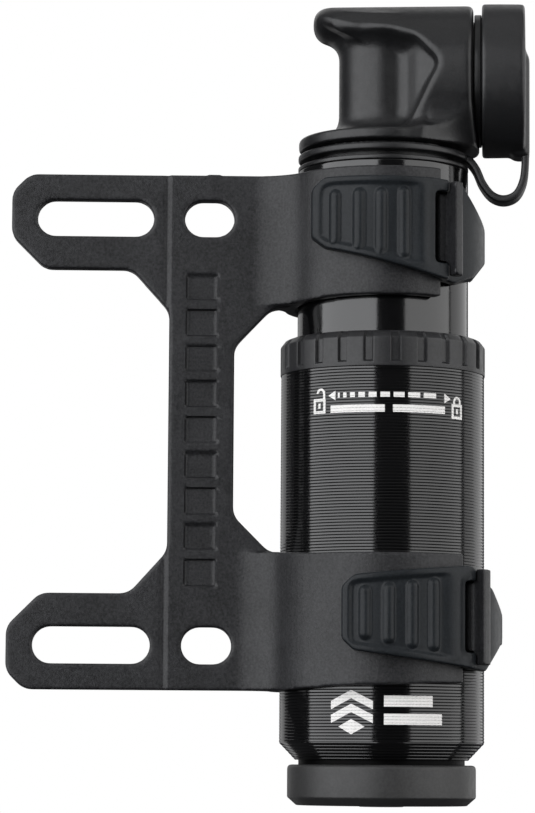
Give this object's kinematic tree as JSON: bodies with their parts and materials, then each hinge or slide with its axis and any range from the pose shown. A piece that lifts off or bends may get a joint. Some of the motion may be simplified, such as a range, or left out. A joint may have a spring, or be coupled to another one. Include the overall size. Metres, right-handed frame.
{
  "type": "mini pump with frame bracket",
  "caption": "Telescoping hand pump with a capped side chuck, strapped by rubber straps into a flat bracket that bolts to a bicycle's bottle bosses.",
  "frame": {"origin": "middle of the bottle-boss slot pattern, on the bracket's back face", "axes": "+Z along the pump towards its head, +Y out of the bracket's back face towards the frame tube, +X from the bolts to the pump"},
  "size_m": [0.0787, 0.0381, 0.1213],
  "materials": {
    "bracket_nylon": "fine moulded grain",
    "head_nylon": "fine moulded grain",
    "collar_nylon": "satin",
    "strap_rubber": "satin rubber",
    "cap_rubber": "satin rubber",
    "end_cap_rubber": "satin rubber",
    "seal_rubber": "smooth",
    "anodised_black": "gloss anodised",
    "bare_aluminium": "turned",
    "bearing_plastic": "smooth",
    "spring_steel": "bright",
    "steel": "ground",
    "brass": "turned"
  },
  "bodies": {
    "root": {"bracket": "bracket_nylon", "upper_strap": "strap_rubber", "lower_strap": "strap_rubber", "barrel": "anodised_black", "neck_ring": "anodised_black", "guide_bush": "bearing_plastic", "bush_clip": "spring_steel", "guide_ring": "bearing_plastic", "stop_ring": "seal_rubber", "bump_washer": "seal_rubber", "head_body": "head_nylon", "head_o_ring": "seal_rubber", "check_seat": "brass", "check_spring": "spring_steel", "tether_ring": "cap_rubber", "valve_grommet": "seal_rubber", "valve_pin": "bearing_plastic"},
    "plunger": {"piston_rod": "steel", "piston": "bare_aluminium", "piston_cup": "seal_rubber", "piston_guide_ring": "bearing_plastic", "piston_nut": "steel", "thrust_washer": "steel", "rod_nut": "steel"},
    "grip": {"handle_sleeve": "anodised_black", "lock_collar": "collar_nylon", "wiper_seal": "seal_rubber", "handle_plug": "anodised_black", "end_cap": "end_cap_rubber"},
    "cap": {"dust_cap": "cap_rubber"},
    "nozzle": {"chuck_ring": "anodised_black"},
    "valve_ball": {"check_ball": "spring_steel"},
    "upper_tab": {"upper_strap_tab": "strap_rubber"},
    "lower_tab": {"lower_strap_tab": "strap_rubber"}
  },
  "joints": [
    {"name": "handle_stroke", "type": "slide", "parent": "root", "child": "plunger", "axis": [0, 0, -1], "range_m": [0, 0.05]},
    {"name": "handle_lock_twist", "type": "hinge", "parent": "plunger", "child": "grip", "pos_m": [0.0263, 0.0012, 0], "axis": [0, 0, 1], "range_deg": [0, 80]},
    {"name": "dust_cap_swing", "type": "hinge", "parent": "root", "child": "cap", "pos_m": [0.04451, -0.00059, 0.03595], "axis": [0.0976, 0.9952, 0], "range_deg": [0, 110]},
    {"name": "chuck_ring_turn", "type": "hinge", "parent": "root", "child": "nozzle", "pos_m": [0.0263, 0.0012, 0.054], "axis": [0.9952, -0.0976, 0], "range_deg": [-180, 180]},
    {"name": "check_valve_lift", "type": "slide", "parent": "root", "child": "valve_ball", "axis": [0, 0, 1], "range_m": [0, 0.001], "stiffness_N_per_m": 30, "springref_m": -0.001, "deforming": ["check_spring"]},
    {"name": "upper_tab_peel", "type": "hinge", "parent": "root", "child": "upper_tab", "pos_m": [0.03391, -0.01406, 0.0293], "axis": [0, 0, 1], "range_deg": [0, 55], "stiffness_Nm_per_rad": 0.01},
    {"name": "lower_tab_peel", "type": "hinge", "parent": "root", "child": "lower_tab", "pos_m": [0.03833, -0.01409, -0.0279], "axis": [0, 0, 1], "range_deg": [0, 55], "stiffness_Nm_per_rad": 0.01}
  ]
}
